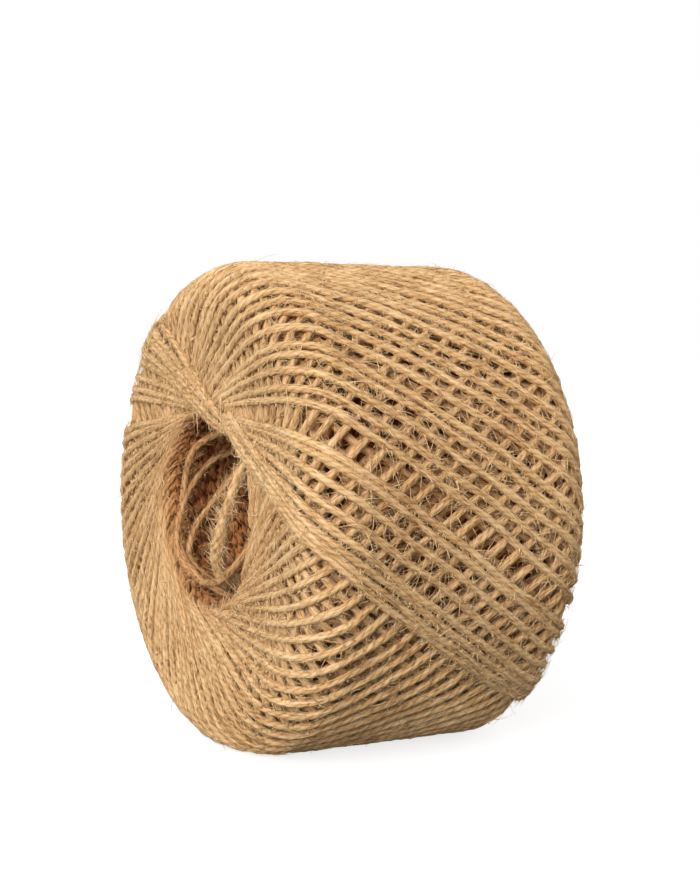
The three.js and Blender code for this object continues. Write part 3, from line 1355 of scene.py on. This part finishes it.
@dataclass
class Studio:
    """Camera, soft lights and the pale floor."""

    form: WoundForm
    azimuth_deg: float = -29.5
    elevation_deg: float = 5.0
    distance: float = 0.361
    focal_px: float = 1800
    frame_px: tuple[float, float] = (700, 889)
    centre_px: tuple[float, float] = (337.3, 503.8)
    sensor: float = 36.0
    clip_start: float = 0.01
    clip_end: float = 20
    lamp_colour: Place = (1.0, 0.985, 0.96)
    lamp_angle_deg: float = 50
    sun_strength: float = 4.08
    sun_to: Place = (0.77, 0.57, -0.27)
    fill_strength: float = 0.74
    fill_to: Place = (-0.93, 0.30, -0.20)
    surround_strength: float = 0.48
    floor_half: float = 6.0
    floor_dark: Colour = linear(176, 176, 177)
    floor_light: Colour = linear(180, 180, 180)
    floor_glow: float = 0.76
    floor_bounce: float = 0.08

    def camera(self) -> None:
        """Place the camera so that the roll's centre falls where the photo has it."""
        azimuth = math.radians(self.azimuth_deg)
        elevation = math.radians(self.elevation_deg)
        back = Vector((
            math.sin(azimuth) * math.cos(elevation),
            -math.cos(azimuth) * math.cos(elevation),
            math.sin(elevation),
        ))
        right = Vector((math.cos(azimuth), math.sin(azimuth), 0.0))
        up = back.cross(right)
        centre = Vector((0, 0, self.form.centre_height))
        scale = self.distance / self.focal_px
        aside = (self.frame_px[0] / 2 - self.centre_px[0]) * scale
        above = (self.centre_px[1] - self.frame_px[1] / 2) * scale
        place = centre + back * self.distance
        aim = centre + right * aside + up * above
        data = bpy.data.cameras.new("camera")
        data.sensor_width = self.sensor
        data.lens = self.sensor * self.focal_px / max(self.frame_px)
        data.clip_start = self.clip_start
        data.clip_end = self.clip_end
        eye = bpy.data.objects.new("camera", data)
        eye.location = place
        eye.rotation_euler = (aim - place).to_track_quat("-Z", "Y").to_euler()
        bpy.context.scene.collection.objects.link(eye)
        bpy.context.scene.camera = eye

    def floor(self) -> None:
        """Lay the pale floor."""
        mesh = bpy.data.meshes.new("floor")
        shape = bmesh.new()
        bmesh.ops.create_grid(shape, x_segments=1, y_segments=1, size=self.floor_half)
        shape.to_mesh(mesh)
        shape.free()
        shop = NodeShop("pale_floor")
        tone = shop.noise(shop.object_coordinates(), scale=3, detail=1, roughness=0.5)
        colour = shop.ramp(tone, [(0.0, self.floor_dark), (1.0, self.floor_light)])
        shop.principled(colour, None, roughness=0.9, sheen=0.0, specular=0.1, glow=self.floor_glow)
        bounce = shop.nodes.new("ShaderNodeBsdfDiffuse")
        bounce.inputs["Color"].default_value = (self.floor_bounce,) * 3 + (1.0,)
        surface = seen_apart(shop.done.node_tree, bounce, shop.nodes["Principled BSDF"])
        shop.links.new(surface, shop.nodes["Material Output"].inputs["Surface"])
        dressed(mesh, shop.done)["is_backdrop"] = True

    def light(self) -> None:
        """Set the soft sun, the white surround and the plain view transform."""
        for name, strength, heading in (
            ("soft_sun", self.sun_strength, self.sun_to), ("fill", self.fill_strength, self.fill_to),
        ):
            data = bpy.data.lights.new(name, "SUN")
            data.energy = strength
            data.angle = math.radians(self.lamp_angle_deg)
            data.color = self.lamp_colour
            lamp = bpy.data.objects.new(name, data)
            lamp.rotation_euler = Vector(heading).to_track_quat("-Z", "Y").to_euler()
            bpy.context.scene.collection.objects.link(lamp)
        world = bpy.data.worlds.new("surround")
        world.use_nodes = True
        nodes = world.node_tree.nodes
        glow = nodes["Background"]
        glow.inputs["Color"].default_value = WHITE
        glow.inputs["Strength"].default_value = self.surround_strength
        backdrop = nodes.new("ShaderNodeBackground")
        backdrop.inputs["Color"].default_value = WHITE
        surface = seen_apart(world.node_tree, glow, backdrop)
        world.node_tree.links.new(surface, nodes["World Output"].inputs["Surface"])
        scene = bpy.context.scene
        scene.world = world
        scene.view_settings.view_transform = "Standard"
        scene.view_settings.look = "None"


def ridden(piece: bpy.types.Object) -> None:
    """Join a piece to the roll's body."""
    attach(piece, BODY)
    faces = len(piece.data.polygons)
    LOG.info("%s: %d faces", piece.name, faces)


LAST_TURNS_DEG = (
    (119.3, 0), (116.9, 0), (114.2, 0), (111.8, 0), (106.8, 0), (101.4, 0), (96.5, 0), (94.2, 0),
    (81.6, 6), (79.75, 0), (75, 0), (69.75, 0), (66.5, 0), (60.5, 0), (55.25, 0), (50.5, 0),
    (45.5, 0), (40, 0), (35, 0), (30, 0),
)
UNDER_TURNS_DEG = ((122.3, 0),)


def main() -> None:
    """Build the roll of twine, piece by piece, and the studio round it."""
    logging.basicConfig(level=logging.INFO, format="%(name)s: %(message)s")
    form = WoundForm()
    studio = Studio(form)
    studio.camera()

    twine_finish = TwineFinish().material()
    # Painted light: the loose fibres are paler than the twine, for light through the thin fibres, so they
    # show bright over the gaps.
    lit_fuzz_finish = TwoToneFinish(
        "lit_jute_fibre", light=linear(252, 224, 176), dark=linear(214, 172, 118),
    ).material()
    # Painted shade: a darker copy of the fibre finish for the fibres in the hole and the loops.
    shaded_fuzz_finish = TwoToneFinish(
        "shaded_inner_fibre", light=linear(226, 186, 130), dark=linear(176, 128, 78),
    ).material()
    # Painted shade: a darker, browner copy of the twine finish for the lining of the hole.
    shaded_lining_finish = TwineFinish(
        "shaded_lining_twine", light=linear(206, 158, 108), middle=linear(184, 130, 80), dark=linear(142, 94, 52),
        groove_shade=0.04, bump_depth=0.00007,
    ).material()
    # Painted shade: the core is coloured dark brown to stand for the shade deep between the turns.
    core_shade_finish = TwoToneFinish(
        "packed_core_shade", light=linear(164, 94, 42), dark=linear(112, 56, 20), dark_at=0.35, grain=500,
        detail=4, grain_roughness=0.7, bump_depth=0.0004, roughness=0.95, sheen=0.0, specular=0.1,
    ).material()

    end = InnerEnd(form)
    end_route = end.route()
    end_piece = end.build("frayed_inner_end", twine_finish)
    ridden(end_piece)
    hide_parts("inner_end")

    law = WindingLaw(form)
    top = WoundCycle(form, law, Twine(), LAST_TURNS_DEG, bundle=4)
    top_route = top.build("top_turns", 3, twine_finish)
    for piece in top.pieces:
        ridden(piece)
    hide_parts("wound_ball")

    under_twine = Twine(pitch=0.0090)
    under = WoundCycle(
        form, law, under_twine, UNDER_TURNS_DEG, layers_above=0.0028, mouth_depth=0.0034, seed=23,
    )
    under_route = under.build("under_turns", 1, twine_finish)
    lining = BoreLining(form, under_twine)
    lining_routes = lining.build("bore_lining", shaded_lining_finish)
    loops = LoosenedTurns(form, Twine(diameter=0.0015))
    loop_routes = loops.build("loosened_turns", twine_finish)
    core = PackedCore(form).build("packed_core_shade", core_shade_finish)
    for piece in (*under.pieces, lining.piece, loops.piece, core):
        ridden(piece)

    straight = Fuzz(hairs=24000, seed=40, longest=0.0032, parts=1)
    short = Fuzz(hairs=19000, seed=41, longest=0.0045, parts=2)
    long = Fuzz(hairs=5600, seed=42, thickness=0.00014, shortest=0.003, longest=0.008, rare_at=0.003)
    below = Fuzz(hairs=6500, seed=46, shortest=0.0015, parts=2)
    frayed = Fuzz(hairs=700, seed=45, longest=0.006, rise=0.5)
    inner = Fuzz(hairs=4400, seed=43, longest=0.006, parts=2)
    looped = Fuzz(hairs=800, seed=44, rise=0.5)
    growths = (
        ("straight_fuzz", straight, [top_route], top.twine, lit_fuzz_finish),
        ("short_fuzz", short, [top_route], top.twine, lit_fuzz_finish),
        ("long_fuzz", long, [top_route], top.twine, lit_fuzz_finish),
        ("under_fuzz", below, [under_route], under_twine, lit_fuzz_finish),
        ("end_fuzz", frayed, [end_route], end.twine, lit_fuzz_finish),
        ("hole_fuzz", inner, lining_routes, under_twine, shaded_fuzz_finish),
        ("loop_fuzz", looped, loop_routes, loops.twine, shaded_fuzz_finish),
    )
    for name, fuzz, routes, twine, finish in growths:
        ridden(fuzz.build(name, routes, twine, finish))
    total = sum(len(polygon.vertices) - 2 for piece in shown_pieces() for polygon in piece.data.polygons)
    LOG.info("%d triangles in all", total)

    studio.floor()
    studio.light()


if __name__ == "__main__":
    main()
